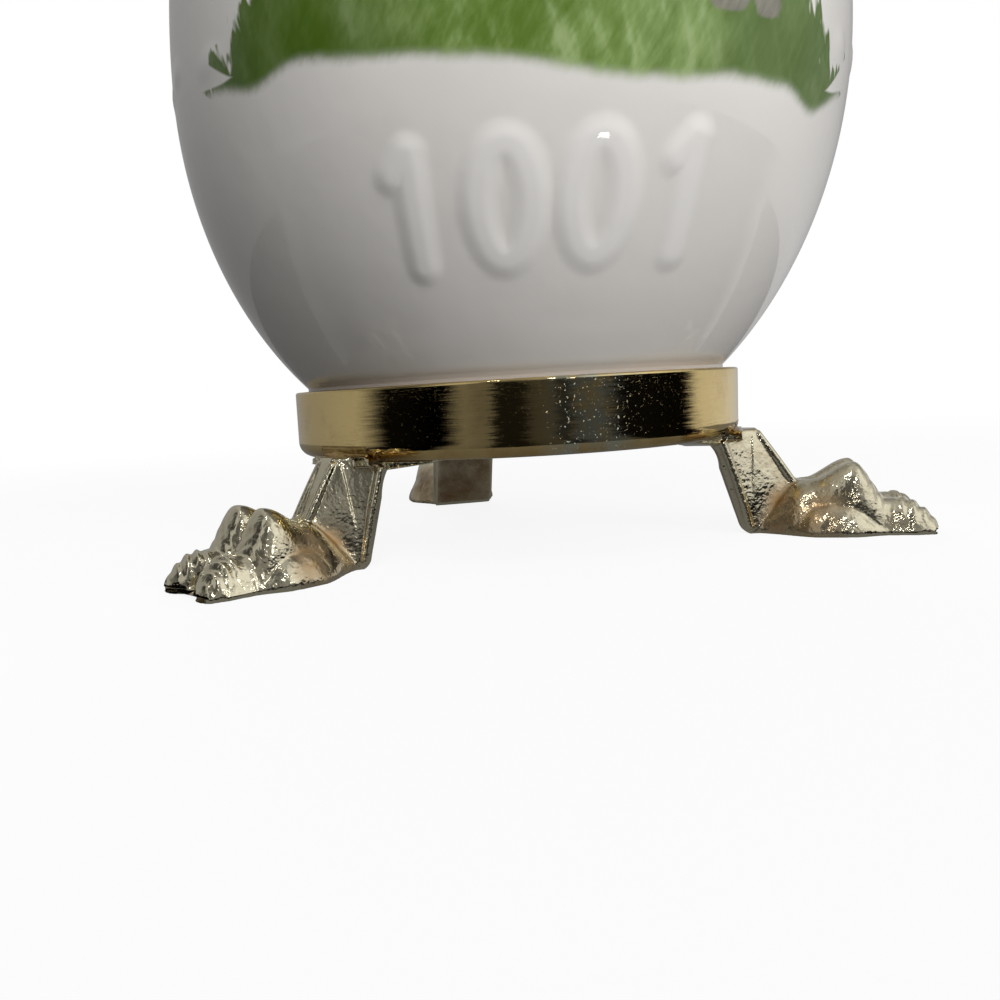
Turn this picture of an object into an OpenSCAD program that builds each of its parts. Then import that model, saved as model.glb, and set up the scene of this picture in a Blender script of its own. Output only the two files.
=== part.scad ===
// Decorative egg on a three-legged stand. A hollow porcelain egg with a short straight foot sits
// loose in a plated metal collar, and the collar stands on three cast claw legs soldered under it.
// Millimetres, Z up. The table is z = 0, the front is towards -Y, and the origin is the middle of
// the whole outline on the table.

/* [Egg] */
// Widest diameter of the egg
egg_d = 57; // [50:0.5:64]
// Height of the widest level above the collar's rim
egg_belly_h = 25.5; // [22:0.5:30]
// Height from the widest level to the tip
egg_crown_h = 46.4; // [40:0.2:54]
// Thickness of the casting's wall
egg_wall = 3; // [2:0.1:4]
// Height of the straight foot that shows above the collar's rim
egg_foot_show = 0.3; // [0.2:0.05:1]
// Diameter of the vent hole in the foot
vent_d = 5; // [4.5:0.5:8]

/* [Collar] */
// Outer diameter of the collar
collar_d = 40; // [36:0.5:46]
// Height of the collar
collar_h = 5.75; // [5:0.25:9]
// Thickness of the collar's wall
collar_wall = 0.9; // [0.6:0.1:1.4]
// Radius of the rolled shoulder at the bottom
shoulder_r = 1.25; // [0.8:0.05:1.6]
// Width of the flange that carries the egg
flange_w = 4; // [3:0.5:6]
// Thickness of the flange
flange_t = 1; // [0.6:0.1:1.6]
// Play between the egg's foot and the collar's wall, on the radius
seat_play = 0.3; // [0.2:0.05:0.6]
// Gap between the egg's foot and the flange
seat_gap = 0.15; // [0.1:0.05:0.3]

/* [Legs] */
// Height of the collar's underside above the table
leg_h = 8.25; // [7.5:0.25:12]
// Width of a leg across its flat back
leg_w = 6.6; // [5.5:0.1:8]
// Width of the flat ridge down a leg's front
ridge_w = 1.7; // [1:0.1:2.4]
// How far the leg's side edge leans out from the head to the heel
leg_lean = 2.1; // [1:0.1:3]
// Radius of the raised beads that frame the two front panels
bead_r = 0.3; // [0.2:0.05:0.45]
// Thickness of the soldering tab at the leg
tab_t = 0.7; // [0.5:0.1:1]
// Angle that the soldering tab covers to each side of the leg
tab_angle = 24; // [16:1:32]

/* [Feet] */
// Length of a foot from the heel to the toe tips
foot_l = 13.9; // [12:0.1:17]
// Greatest width of a foot
foot_w = 10.4; // [9:0.2:12]
// Height of the knuckles of the two middle toes
knuckle_h = 5.75; // [4.5:0.05:6.5]
// Height of the instep's hollow between the leg and the knuckles
instep_h = 4.2; // [3.2:0.1:4.8]
// Height of a side toe
side_toe_h = 2.65; // [1.8:0.05:3.4]
// Thickness of a foot at its edge
sole_edge = 0.4; // [0.3:0.05:0.6]
// Depth of the ridges across the toe ends
wrinkle = 0.1; // [0.05:0.01:0.2]

/* [Hidden] */
ROUND = 96;
BEAD_ROUND = 10;

// Stand: the legs are a third of a turn apart, with one straight behind
LEG_ANGLES = [210, 330, 90];
collar_r = collar_d / 2;
bore_r = collar_r - collar_wall;
flange_r = bore_r - flange_w;
rim_z = leg_h + collar_h;
rim_edge = collar_wall / 5;

// Egg: an ellipse below the widest level, a longer one above it
egg_r = egg_d / 2;
egg_foot_r = bore_r - seat_play;
egg_foot_z = leg_h + flange_t + seat_gap;
egg_floor_z = egg_foot_z + egg_wall;
flare_z = rim_z + egg_foot_show;
belly_z = rim_z + egg_belly_h;
flare_angle = acos(egg_foot_r / egg_r);
lower_h = (belly_z - flare_z) / sin(flare_angle);
foot_edge = 0.4;
LOWER_STEPS = 18;
UPPER_STEPS = 30;

// Leg, in its own frame: u runs outward from the collar's axis, v across it, z up
heel_u = collar_r + 0.75;
tip_u = heel_u + foot_l;
edge_head_u = heel_u - leg_lean;
edge_depth = 0.9;
ridge_head_u = collar_r + 1.45;
ridge_foot_u = ridge_head_u + 5.2;
ledge_rise = 0.45;
ledge_gap = 0.25;
gusset_u = flange_r + 0.9;
gusset_z = leg_h - 2.85;
heel_round = 0.8;
heel_lift = 0.05;
paw_inset = 0.35;

// The whole outline runs from the egg's front to the rear foot's tips, and its middle is the origin
axis_y = -(tip_u - egg_r) / 2;

function ease(x) = x * x * (3 - 2 * x);
function clamp01(x) = min(1, max(0, x));
// Smooth curve through [place, value] pairs, level at each pair
function through(pairs, t, i = 0) =
    t <= pairs[0][0] ? pairs[0][1] :
    i >= len(pairs) - 1 ? pairs[len(pairs) - 1][1] :
    t <= pairs[i + 1][0] ?
        pairs[i][1] + (pairs[i + 1][1] - pairs[i][1])
            * ease((t - pairs[i][0]) / (pairs[i + 1][0] - pairs[i][0])) :
    through(pairs, t, i + 1);
// Rounded section of the given height and half width, at x from its middle. A fuller one is flatter on top
function dome(height, half, x, fullness = 2) =
    height * pow(max(0, 1 - pow(abs(x) / half, fullness)), 1 / fullness);
// The larger of two heights, with the corner between them rounded
function smooth_top(a, b, width) =
    max(a, b) + pow(max(0, width - abs(a - b)), 2) / (4 * width);

// Foot, with t from 0 at the heel to 1 at the toe tips, and s from -1 to 1 across it
knuckle_t = 0.56;
toe_break_t = 0.745;
toe_shoulder_h = knuckle_h * 0.48;
tip_v = foot_w * 0.235;
tip_round = foot_w * 0.17;
tip_notch = 1.5;
tip_h = 0.9;
edge_h = sole_edge * 0.6;
function toe_crest(t) = through([[0, 1], [0.3, instep_h], [knuckle_t, knuckle_h],
    [toe_break_t, toe_shoulder_h], [0.82, toe_shoulder_h], [1.03, tip_h]], t);
function toe_place(t) = through([[0.25, foot_w * 0.1], [knuckle_t, foot_w * 0.17],
    [0.8, foot_w * 0.2], [1, tip_v]], t);
function toe_half(t) = foot_w * through([[0.3, 0.27], [knuckle_t, 0.225], [0.85, 0.17], [1, 0.14]], t);
function side_crest(t) = side_toe_h * through([[0.05, 0.15], [0.42, 1], [0.52, 0.96],
    [0.78, 0.12]], t);
function side_place(t) = foot_w * through([[0.1, 0.32], [0.42, 0.36], [0.78, 0.31]], t);
function instep_crest(t) = instep_h * through([[0, 0.3], [0.28, 1], [0.5, 0.98], [0.78, 0.4],
    [0.95, 0.1]], t);
function foot_half(t) = foot_w / 2 * through([[0, 0.58], [0.38, 1], [0.52, 0.98], [0.76, 0.77],
    [0.9, 0.76], [1, 0.7]], t);
// The two toe tips are round in plan, with a notch between them
function tip_cut(t, v) = tip_notch * ease(clamp01((t - 0.78) / 0.22))
    * (1 - sqrt(1 - pow(min(1, abs(abs(v) - tip_v) / tip_round), 2)));
WRINKLE_PITCH = 0.8;
function wrinkles(t, u) = wrinkle * cos(360 * (tip_u - u) / WRINKLE_PITCH)
    * clamp01((t - 0.76) / 0.05) * clamp01((1 - t) / 0.06);
// The toes touch in the middle, so their inner sides end there
function toe_height(t, u, v) = let (place = toe_place(t), off = abs(v) - place)
    dome(toe_crest(t) + wrinkles(t, u), off < 0 ? place * 1.05 : toe_half(t), off, 2.5);
// Height of the leg's front above a point of the foot
function column_front(u, v) = let (
        share = clamp01((leg_w / 2 - abs(v)) / ((leg_w - ridge_w) / 2)),
        foot_u = heel_u + (ridge_foot_u - heel_u) * share,
        head_u = edge_head_u + (ridge_head_u - edge_head_u) * share)
    min(leg_h, (foot_u - u) * (leg_h + ledge_rise) / (foot_u - head_u));
// The foot's own forms thin out towards its edge and its tips, and run into the leg's front
function foot_height(t, s, u, v) = let (
        toes = smooth_top(toe_height(t, u, v), dome(instep_crest(t), foot_w * 0.44, v), 0.35),
        side = dome(side_crest(t), foot_w * 0.17, abs(v) - side_place(t)),
        top = max(sole_edge, smooth_top(toes, side, 0.25)),
        fall = sqrt(1 - pow(abs(s), 6)) * sqrt(1 - 0.96 * pow(t, 30)))
    smooth_top(edge_h + (top - edge_h) * fall, column_front(u, v) - 0.08, 1.5);

// Stations along the foot are closer together on the ridged toe ends
RIDGED_FROM = 0.75;
COARSE_STEPS = 20;
FINE_STEPS = 20;
ACROSS_STEPS = 26;
STATIONS = concat([for (i = [0 : COARSE_STEPS - 1]) RIDGED_FROM * i / COARSE_STEPS],
    [for (i = [0 : FINE_STEPS]) RIDGED_FROM + (1 - RIDGED_FROM) * i / FINE_STEPS]);
// Across the foot they crowd towards the edges, as the cosine does
ACROSS = [for (j = [0 : ACROSS_STEPS]) -sin(90 * (1 - 2 * j / ACROSS_STEPS))];

function ellipse_point(rx, rz, t, inset) =
    let (n = [cos(t) / rx, sin(t) / rz])
    [rx * cos(t), rz * sin(t)] - inset * n / norm(n);
// The egg's curve from the flare to the tip, set in by a wall
function egg_curve(inset) = concat(
    [for (i = [0 : LOWER_STEPS])
        ellipse_point(egg_r, lower_h, -flare_angle * (1 - i / LOWER_STEPS), inset) + [0, belly_z]],
    [for (i = [1 : UPPER_STEPS - 1])
        ellipse_point(egg_r, egg_crown_h, 90 * i / UPPER_STEPS, inset) + [0, belly_z]],
    [[0, belly_z + egg_crown_h - inset]]);

module egg() {
    color("white")
    translate([0, axis_y, 0])
    difference() {
        rotate_extrude($fn = ROUND)
        polygon(concat([[0, egg_foot_z], [egg_foot_r - foot_edge, egg_foot_z],
            [egg_foot_r, egg_foot_z + foot_edge]], egg_curve(0)));
        rotate_extrude($fn = ROUND)
        polygon(concat([[0, egg_floor_z], [egg_foot_r - egg_wall, egg_floor_z]],
            [for (p = egg_curve(egg_wall)) if (p[1] > egg_floor_z) p]));
        translate([0, 0, egg_foot_z - 1])
        cylinder(d = vent_d, h = egg_wall + 2, $fn = ROUND);
    }
}

// The rolled shoulder, from the underside round to the wall
SHOULDER_STEPS = 8;
function shoulder_arc(gap) = [for (i = [0 : SHOULDER_STEPS])
    let (a = -90 + 90 * i / SHOULDER_STEPS)
    [collar_r - shoulder_r, leg_h + shoulder_r] + (shoulder_r + gap) * [cos(a), sin(a)]];

module collar() {
    color("palegoldenrod")
    translate([0, axis_y, 0])
    rotate_extrude($fn = ROUND)
    polygon(concat([[flange_r, leg_h]], shoulder_arc(0),
        [[collar_r, rim_z - rim_edge], [collar_r - rim_edge, rim_z], [bore_r + rim_edge, rim_z],
        [bore_r, rim_z - rim_edge], [bore_r, leg_h + flange_t], [flange_r, leg_h + flange_t]]));
}

// The paw is one surface over the flat sole: two middle toes, two side toes and the instep
module paw() {
    across = len(ACROSS);
    along = len(STATIONS);
    top = [for (t = STATIONS) for (s = ACROSS)
        let (v = s * foot_half(t), u = heel_u + paw_inset + t * (foot_l - paw_inset) - tip_cut(t, v))
        [u, v, foot_height(t, s, u, v)]];
    sole = [for (p = top) [p[0], p[1], 0]];
    n = len(top);
    rim = concat([for (j = [0 : across - 1]) j],
        [for (i = [1 : along - 1]) i * across + across - 1],
        [for (j = [across - 2 : -1 : 0]) (along - 1) * across + j],
        [for (i = [along - 2 : -1 : 1]) i * across]);
    upper = [for (i = [0 : along - 2]) for (j = [0 : across - 2])
        let (a = i * across + j) each [[a, a + 1, a + across + 1], [a, a + across + 1, a + across]]];
    wall = [for (k = [0 : len(rim) - 1])
        let (a = rim[k], b = rim[(k + 1) % len(rim)]) each [[a, a + n, b + n], [a, b + n, b]]];
    under = [[for (k = [len(rim) - 1 : -1 : 0]) rim[k] + n]];
    polyhedron(points = concat(top, sole), faces = concat(upper, wall, under));
}

// Section of the leg: a flat back, short sides and two panels that meet in a narrow ridge
module leg_section(z, back, edge, ridge) {
    translate([0, 0, z])
    linear_extrude(0.01)
    polygon([[back, -leg_w / 2], [edge, -leg_w / 2], [ridge, -ridge_w / 2], [ridge, ridge_w / 2],
        [edge, leg_w / 2], [back, leg_w / 2]]);
}

// Side view of the leg, with the gusset's hollow curve behind and the ledge outside the collar
GUSSET_STEPS = 8;
back_head_u = edge_head_u - edge_depth + leg_lean * (leg_h - gusset_z) / leg_h;
module leg_profile() {
    reach = back_head_u - gusset_u;
    polygon(concat(
        [[heel_u, heel_lift], [heel_u - heel_round, heel_round]],
        [for (i = [0 : GUSSET_STEPS])
            let (a = 90 * i / GUSSET_STEPS)
            [gusset_u + reach * cos(a), gusset_z + (leg_h - gusset_z) * sin(a)]],
        [[collar_r + ledge_gap, leg_h], [collar_r + ledge_gap, leg_h + ledge_rise],
        [ridge_head_u, leg_h + ledge_rise], [ridge_foot_u, heel_lift]]));
}

// A bead bows out a little between its ends, and lies a little inside the leg's side
bead_bow = 0.12;
bead_set = 0.05;
module bead(from, to) {
    middle = (from + to) / 2 + [bead_bow, 0, 0];
    for (ends = [[from, middle], [middle, to]])
        hull() {
            translate(ends[0]) sphere(r = bead_r, $fn = BEAD_ROUND);
            translate(ends[1]) sphere(r = bead_r, $fn = BEAD_ROUND);
        }
}

module column() {
    intersection() {
        rotate([90, 0, 0])
        linear_extrude(leg_w, center = true)
        leg_profile();
        hull() {
            leg_section(0, gusset_u, heel_u, ridge_foot_u);
            leg_section(leg_h + ledge_rise, gusset_u, edge_head_u, ridge_head_u);
        }
    }
    for (side = [-1, 1]) {
        bead([edge_head_u, side * (leg_w / 2 - bead_set), leg_h - 1.4 * bead_r],
            [heel_u, side * (leg_w / 2 - bead_set), 1.4 * bead_r]);
        bead([ridge_head_u, side * (ridge_w / 2 - bead_set), leg_h + ledge_rise - 1.4 * bead_r],
            [(ridge_head_u + ridge_foot_u) / 2, side * (ridge_w / 2 - bead_set),
            (leg_h + ledge_rise) / 2]);
    }
}

// Arc-shaped tab under the flange, thinning towards its ends
tab_end = 0.3;
module tab() {
    inner = gusset_u;
    outer = collar_r - shoulder_r;
    run = inner * sin(tab_angle) - leg_w / 2;
    rise = tab_t * (1 - tab_end);
    difference() {
        rotate([0, 0, -tab_angle])
        rotate_extrude(angle = 2 * tab_angle, $fn = ROUND)
        translate([inner, leg_h - tab_t])
        square([outer - inner, tab_t]);
        for (side = [-1, 1])
            translate([0, side * (leg_w / 2 + bead_r), leg_h - tab_t])
            rotate([side * atan(rise / run), 0, 0])
            translate([0, side > 0 ? 0 : -collar_r, -collar_r])
            cube(collar_r);
    }
}

module claw_leg(angle) {
    color("khaki")
    translate([0, axis_y, 0])
    rotate([0, 0, angle]) {
        paw();
        column();
        tab();
    }
}

module left_claw_leg() {
    claw_leg(LEG_ANGLES[0]);
}

module right_claw_leg() {
    claw_leg(LEG_ANGLES[1]);
}

module rear_claw_leg() {
    claw_leg(LEG_ANGLES[2]);
}

// Solder fills the groove between the collar's shoulder and the leg's head
module solder_fillets() {
    spread = asin((leg_w / 2 - bead_r) / collar_r);
    gap = 0.02;
    color("goldenrod")
    translate([0, axis_y, 0])
    for (angle = LEG_ANGLES)
        rotate([0, 0, angle - spread])
        rotate_extrude(angle = 2 * spread, $fn = ROUND)
        polygon(concat([for (p = shoulder_arc(gap)) if (p[1] > leg_h + 0.05) p],
            [[collar_r + gap, leg_h + 1.2 * shoulder_r], [collar_r + ledge_gap - 0.05, leg_h + 0.6],
            [collar_r + ledge_gap - 0.05, leg_h + gap]]));
}

egg();
collar();
left_claw_leg();
right_claw_leg();
rear_claw_leg();
solder_fillets();
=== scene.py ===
"""Looks of the decorative egg on its three-legged stand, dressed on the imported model.

The egg, the collar, the three cast legs and their solder are made here from the part's own sizes,
with the surface that shows close up. Sizes are in millimetres, and each mesh is made in metres.
"""
import math

import bpy
import numpy as np
from mathutils import Matrix, Vector, noise


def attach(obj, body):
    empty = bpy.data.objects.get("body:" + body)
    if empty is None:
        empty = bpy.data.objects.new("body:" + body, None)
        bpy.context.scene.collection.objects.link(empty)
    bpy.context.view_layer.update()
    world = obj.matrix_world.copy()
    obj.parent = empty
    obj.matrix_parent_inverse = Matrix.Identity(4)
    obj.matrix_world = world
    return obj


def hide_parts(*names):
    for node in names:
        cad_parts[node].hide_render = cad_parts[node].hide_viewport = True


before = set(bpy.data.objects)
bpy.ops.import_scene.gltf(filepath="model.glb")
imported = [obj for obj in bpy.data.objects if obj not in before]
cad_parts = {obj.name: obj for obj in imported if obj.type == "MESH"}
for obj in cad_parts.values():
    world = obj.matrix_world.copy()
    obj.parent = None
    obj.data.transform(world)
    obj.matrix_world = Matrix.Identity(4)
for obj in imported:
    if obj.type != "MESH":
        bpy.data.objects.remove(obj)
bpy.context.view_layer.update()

MM = 0.001

# Sizes that the part's source gives
COLLAR_R = 20.0
COLLAR_H = 5.75
COLLAR_WALL = 0.9
SHOULDER_R = 1.25
FLANGE_W = 4.0
FLANGE_T = 1.0
LEG_H = 8.25
LEG_W = 6.6
RIDGE_W = 1.7
LEG_LEAN = 2.1
BEAD_R = 0.3
TAB_T = 0.7
TAB_ANGLE = 24.0
FOOT_L = 13.9
FOOT_W = 10.4
KNUCKLE_H = 5.75
INSTEP_H = 4.2
SIDE_TOE_H = 2.65
SOLE_EDGE = 0.4
EGG_R = 28.5
EGG_BELLY_H = 25.5
EGG_CROWN_H = 46.4
EGG_WALL = 3.0
EGG_FOOT_SHOW = 0.3
VENT_R = 2.5
SEAT_PLAY = 0.3
SEAT_GAP = 0.15
LEG_ANGLES = {"left": 210.0, "right": 330.0, "rear": 90.0}
VIEW_ANGLE = -107.2

BORE_R = COLLAR_R - COLLAR_WALL
FLANGE_R = BORE_R - FLANGE_W
RIM_Z = LEG_H + COLLAR_H
EGG_FOOT_R = BORE_R - SEAT_PLAY
EGG_FOOT_Z = LEG_H + FLANGE_T + SEAT_GAP
EGG_FLOOR_Z = EGG_FOOT_Z + EGG_WALL
FLARE_Z = RIM_Z + EGG_FOOT_SHOW
BELLY_Z = RIM_Z + EGG_BELLY_H
FLARE_ANGLE = math.acos(EGG_FOOT_R / EGG_R)
LOWER_H = (BELLY_Z - FLARE_Z) / math.sin(FLARE_ANGLE)
HEEL_U = COLLAR_R + 0.75
TIP_U = HEEL_U + FOOT_L
EDGE_HEAD_U = HEEL_U - LEG_LEAN
RIDGE_HEAD_U = COLLAR_R + 1.45
RIDGE_FOOT_U = RIDGE_HEAD_U + 5.2
LEDGE_RISE = 0.45
LEDGE_U = COLLAR_R + 0.25
GUSSET_U = FLANGE_R + 0.9
GUSSET_Z = LEG_H - 2.85
BACK_HEAD_U = EDGE_HEAD_U - 0.9 + LEG_LEAN * (LEG_H - GUSSET_Z) / LEG_H
AXIS_Y = -(TIP_U - EGG_R) / 2


# ---------------- points and meshes

def placed(name, data):
    """A new object in the scene that shows data."""
    made = bpy.data.objects.new(name, data)
    bpy.context.scene.collection.objects.link(made)
    return made


def mesh_object(name, points, faces, material=None, edges=()):
    """A smooth-shaded object from points in millimetres."""
    mesh = bpy.data.meshes.new(name)
    mesh.from_pydata((np.asarray(points, float) * MM).tolist(), list(edges), faces)
    mesh.shade_smooth()
    if material:
        mesh.materials.append(material)
    return placed(name, mesh)


def baked(name, source):
    """A smooth plain-mesh object from source with its modifiers applied. The source goes."""
    graph = bpy.context.evaluated_depsgraph_get()
    mesh = bpy.data.meshes.new_from_object(source.evaluated_get(graph), depsgraph=graph)
    mesh.name = name
    mesh.shade_smooth()
    bpy.data.objects.remove(source)
    return placed(name, mesh)


def vectors(items, key):
    """The vector that each item of a mesh has under a key, as rows."""
    flat = np.empty(len(items) * 3, np.float32)
    items.foreach_get(key, flat)
    return flat.reshape(-1, 3).astype(float)


def set_coordinates(mesh, points):
    """Moves the mesh's vertices to points in millimetres."""
    mesh.vertices.foreach_set("co", np.asarray(points * MM, np.float32).ravel())
    mesh.update()


def store(mesh, name, values):
    """Keeps one number per vertex under a name that the material reads."""
    layer = mesh.attributes.new(name, "FLOAT", "POINT")
    layer.data.foreach_set("value", np.asarray(values, np.float32))


def spread_over(mesh, values, rounds):
    """Averages vectors, one per vertex, with the neighbours', round after round."""
    edges = np.empty(len(mesh.edges) * 2, np.int32)
    mesh.edges.foreach_get("vertices", edges)
    a, b = edges.reshape(-1, 2).T
    count = np.bincount(np.concatenate([a, b]), minlength=len(values)).astype(float)[:, None]
    for _ in range(rounds):
        total = np.zeros_like(values)
        np.add.at(total, a, values[b])
        np.add.at(total, b, values[a])
        values = (values + total) / (1 + count)
    return values


def loft(sections):
    """Points and faces of a closed solid through sections with equally many points."""
    n = len(sections[0])
    points = np.vstack(sections)
    faces = [list(range(n - 1, -1, -1)), list(range(len(points) - n, len(points)))]
    for s in range(len(sections) - 1):
        for i in range(n):
            j = (i + 1) % n
            faces.append([s * n + i, s * n + j, (s + 1) * n + j, (s + 1) * n + i])
    return points, faces


def gathered(solids):
    """Points and faces of several solids as one list each."""
    points, faces = [], []
    for more, sides in solids:
        faces.extend([[len(points) + i for i in face] for face in sides])
        points.extend(np.asarray(more).tolist())
    return points, faces


def round_axis(r, angle, z):
    """The point at a distance and an angle, in radians, from the collar's axis."""
    return r * math.cos(angle), AXIS_Y + r * math.sin(angle), z


def wrapped(angle):
    """The same angle, between minus half a turn and half a turn."""
    return (angle + math.pi) % (2 * math.pi) - math.pi


def part_way(distance, length):
    """How far a distance goes along a length, from 0 to 1."""
    return np.clip(distance / length, 0, 1)


def ease(x):
    return x * x * (3 - 2 * x)


def through(pairs, t):
    """Smooth curve through (place, value) pairs, level at each pair."""
    value = np.full(np.shape(t), float(pairs[0][1]))
    for (a, x), (b, y) in zip(pairs, pairs[1:]):
        value = value + (y - x) * ease(part_way(t - a, b - a))
    return value


def dome(height, half, x, fullness=2.0):
    """Height of a rounded form at x from its middle. A fuller one has a flatter top."""
    rest = np.maximum(0, 1 - np.abs(x / half) ** fullness)
    return height * rest ** (1 / fullness)


def smooth_top(a, b, width):
    """The larger of two heights, with the corner between them rounded."""
    near = np.maximum(width - np.abs(a - b), 0) / width
    return np.maximum(a, b) + near ** 2 * width / 4


def dimples(points, size, seed):
    """Smooth noise from -1 to 1 at points in millimetres."""
    shift = Vector((seed * 17.3, seed * 5.1, seed * 9.7))
    return np.array([noise.noise(Vector(p) / size + shift) for p in points])


# ---------------- nodes

def fill(node, key, value):
    """Sets a node's input, or links it to a socket or to another node's first output."""
    if isinstance(value, bpy.types.Node):
        value = value.outputs[0]
    if isinstance(value, bpy.types.NodeSocket):
        node.id_data.links.new(value, node.inputs[key])
    else:
        node.inputs[key].default_value = value


def feed(node, **values):
    """Fills a node's inputs by name, where _ stands for a space."""
    for key, value in values.items():
        fill(node, key.replace("_", " "), value)
    return node


def step(tree, kind, inputs=None, **settings):
    """A node with its settings, and its inputs filled by name or place."""
    made = tree.nodes.new(kind)
    for key, value in settings.items():
        setattr(made, key, value)
    for key, value in (inputs or {}).items():
        fill(made, key, value)
    return made


def node_group(kind, name, inputs, outputs):
    """A node tree with named inputs (label, kind, perhaps a value) and outputs (label, kind)."""
    tree = bpy.data.node_groups.new(name, kind)
    for way, sockets in (("INPUT", inputs), ("OUTPUT", outputs)):
        for label, sort, *value in sockets:
            socket = tree.interface.new_socket(label, in_out=way, socket_type="NodeSocket" + sort)
            if value:
                socket.default_value = value[0]
    return tree, tree.nodes.new("NodeGroupInput").outputs, tree.nodes.new("NodeGroupOutput")


def calc(operation, a, b=0.0, c=0.0, clamp=False):
    """A math node's result, in the tree of the first of its inputs that is a socket."""
    tree = next(x.id_data for x in (a, b, c) if isinstance(x, bpy.types.NodeSocket))
    return step(tree, "ShaderNodeMath", {0: a, 1: b, 2: c}, operation=operation,
                use_clamp=clamp).outputs[0]


def times(a, b):
    return calc("MULTIPLY", a, b)


def scaled(a, factor, base):
    """a times factor, plus base."""
    return calc("MULTIPLY_ADD", a, factor, base)


def centred(pattern):
    """A pattern from 0 to 1, moved to lie about 0."""
    return calc("SUBTRACT", pattern, 0.5)


def vector(tree, x=0.0, y=0.0, z=0.0):
    return step(tree, "ShaderNodeCombineXYZ", {0: x, 1: y, 2: z})


def parts(place):
    return step(place.id_data, "ShaderNodeSeparateXYZ", {0: place}).outputs


# ---------------- geometry nodes

def geometry_tree(name, inputs):
    """A tree that takes geometry, the named inputs and a material, and gives geometry."""
    return node_group("GeometryNodeTree", name,
                      [("Geometry", "Geometry"), *inputs, ("Material", "Material")],
                      [("Geometry", "Geometry")])


def finish_tree(given, made, out):
    """Gives what the tree made as plain mesh in the given material."""
    tree = out.id_data
    feed(out, Geometry=step(tree, "GeometryNodeSetMaterial", {
        "Geometry": step(tree, "GeometryNodeRealizeInstances", {"Geometry": made}),
        "Material": given["Material"]}))
    return tree


def use_tree(obj, tree, values):
    """Puts the tree on the object as a modifier, with its named inputs set."""
    modifier = obj.modifiers.new(tree.name, "NODES")
    modifier.node_group = tree
    for item in tree.interface.items_tree:
        if item.item_type == "SOCKET" and item.in_out == "INPUT" and item.name in values:
            modifier[item.identifier] = values[item.name]


def turned_ring_tree():
    """Turns a profile, drawn as points in the XZ plane, once round the Z axis."""
    tree, given, out = geometry_tree("Turned ring", [
        ("Steps", "Int"), ("Points", "Int"), ("Axis Y", "Float")])
    grid = step(tree, "GeometryNodeMeshGrid", {
        "Size X": 1.0, "Size Y": 1.0, "Vertices X": calc("ADD", given["Steps"], 1.0),
        "Vertices Y": given["Points"]})
    place = parts(step(tree, "GeometryNodeInputPosition"))
    turn = times(place["X"], 2 * math.pi)
    row = times(calc("ADD", place["Y"], 0.5), calc("SUBTRACT", given["Points"], 1.0))
    sample = step(tree, "GeometryNodeSampleIndex", {
        "Geometry": given["Geometry"], "Index": calc("ROUND", row),
        "Value": step(tree, "GeometryNodeInputPosition")}, data_type="FLOAT_VECTOR", domain="POINT")
    profile = parts(sample.outputs["Value"])
    point = vector(tree, times(profile["X"], calc("COSINE", turn)),
                   scaled(profile["X"], calc("SINE", turn), given["Axis Y"]), profile["Z"])
    turned = step(tree, "GeometryNodeSetPosition", {"Geometry": grid, "Position": point})
    closed = step(tree, "GeometryNodeMergeByDistance", {"Geometry": turned, "Distance": 1e-6})
    return finish_tree(given, closed, out)


def bead_tree():
    """Runs a round bead along each path."""
    tree, given, out = geometry_tree("Bead along an edge", [
        ("Bead Radius", "Float"), ("Sides", "Int")])
    path = step(tree, "GeometryNodeMeshToCurve", {0: given["Geometry"]})
    ring = step(tree, "GeometryNodeCurvePrimitiveCircle", {
        "Resolution": given["Sides"], "Radius": given["Bead Radius"]})
    bead = step(tree, "GeometryNodeCurveToMesh", {
        "Curve": path, "Profile Curve": ring, "Fill Caps": True})
    return finish_tree(given, bead, out)


def standing_leg_tree():
    """Turns a leg about the collar's axis to its own place."""
    tree, given, out = geometry_tree("Leg round the collar", [
        ("Angle", "Float"), ("Axis Y", "Float")])
    turned = step(tree, "GeometryNodeTransform", {
        "Geometry": given["Geometry"],
        "Translation": vector(tree, y=given["Axis Y"]),
        "Rotation": vector(tree, z=given["Angle"])})
    return finish_tree(given, turned, out)


# ---------------- materials

def linear(red, green, blue):
    """A colour given as the eye reads it, 0 to 255, in Blender's own scale."""
    def one(c):
        c = c / 255
        return c / 12.92 if c <= 0.04045 else ((c + 0.055) / 1.055) ** 2.4
    return (one(red), one(green), one(blue), 1.0)


CASTING_PLATING, CASTING_AMBER = linear(226, 218, 190), linear(146, 106, 48)
COLLAR_PLATING, COLLAR_AMBER = linear(228, 203, 142), linear(140, 100, 40)
SOLDER_PLATING, SOLDER_AMBER = linear(212, 184, 120), linear(128, 92, 44)
WORN_PLATING = linear(190, 194, 176)
# The third white is lighter and paints a highlight onto the raised numerals.
WHITE, WHITE_SHADE, WHITE_RAISED_HIGHLIGHT = (linear(236, 233, 228), linear(228, 224, 219),
                                    linear(250, 248, 245))
# Tan of the unglazed foot. Just above the collar's rim it also paints shade and the collar's
# reflection.
BISCUIT_AND_SHADE = linear(168, 152, 136)
SPECK = linear(90, 82, 74)
GRASS, GRASS_LIGHT, GRASS_PALE, GRASS_DARK = (linear(92, 120, 42), linear(142, 168, 100),
                                              linear(178, 194, 146), linear(68, 97, 18))
STONE_DARK, STONE_LIGHT = linear(96, 92, 88), linear(160, 152, 142)


def shader_group(name, inputs, outputs):
    return node_group("ShaderNodeTree", name, inputs, outputs)


def use_group(tree, group, **inputs):
    return feed(step(tree, "ShaderNodeGroup", node_tree=group), **inputs).outputs


def material(name, **plain):
    """A material with a Principled shader, plain values set by input name."""
    made = bpy.data.materials.new(name)
    made.use_nodes = True
    return made, made.node_tree, feed(made.node_tree.nodes["Principled BSDF"], **plain)


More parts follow.
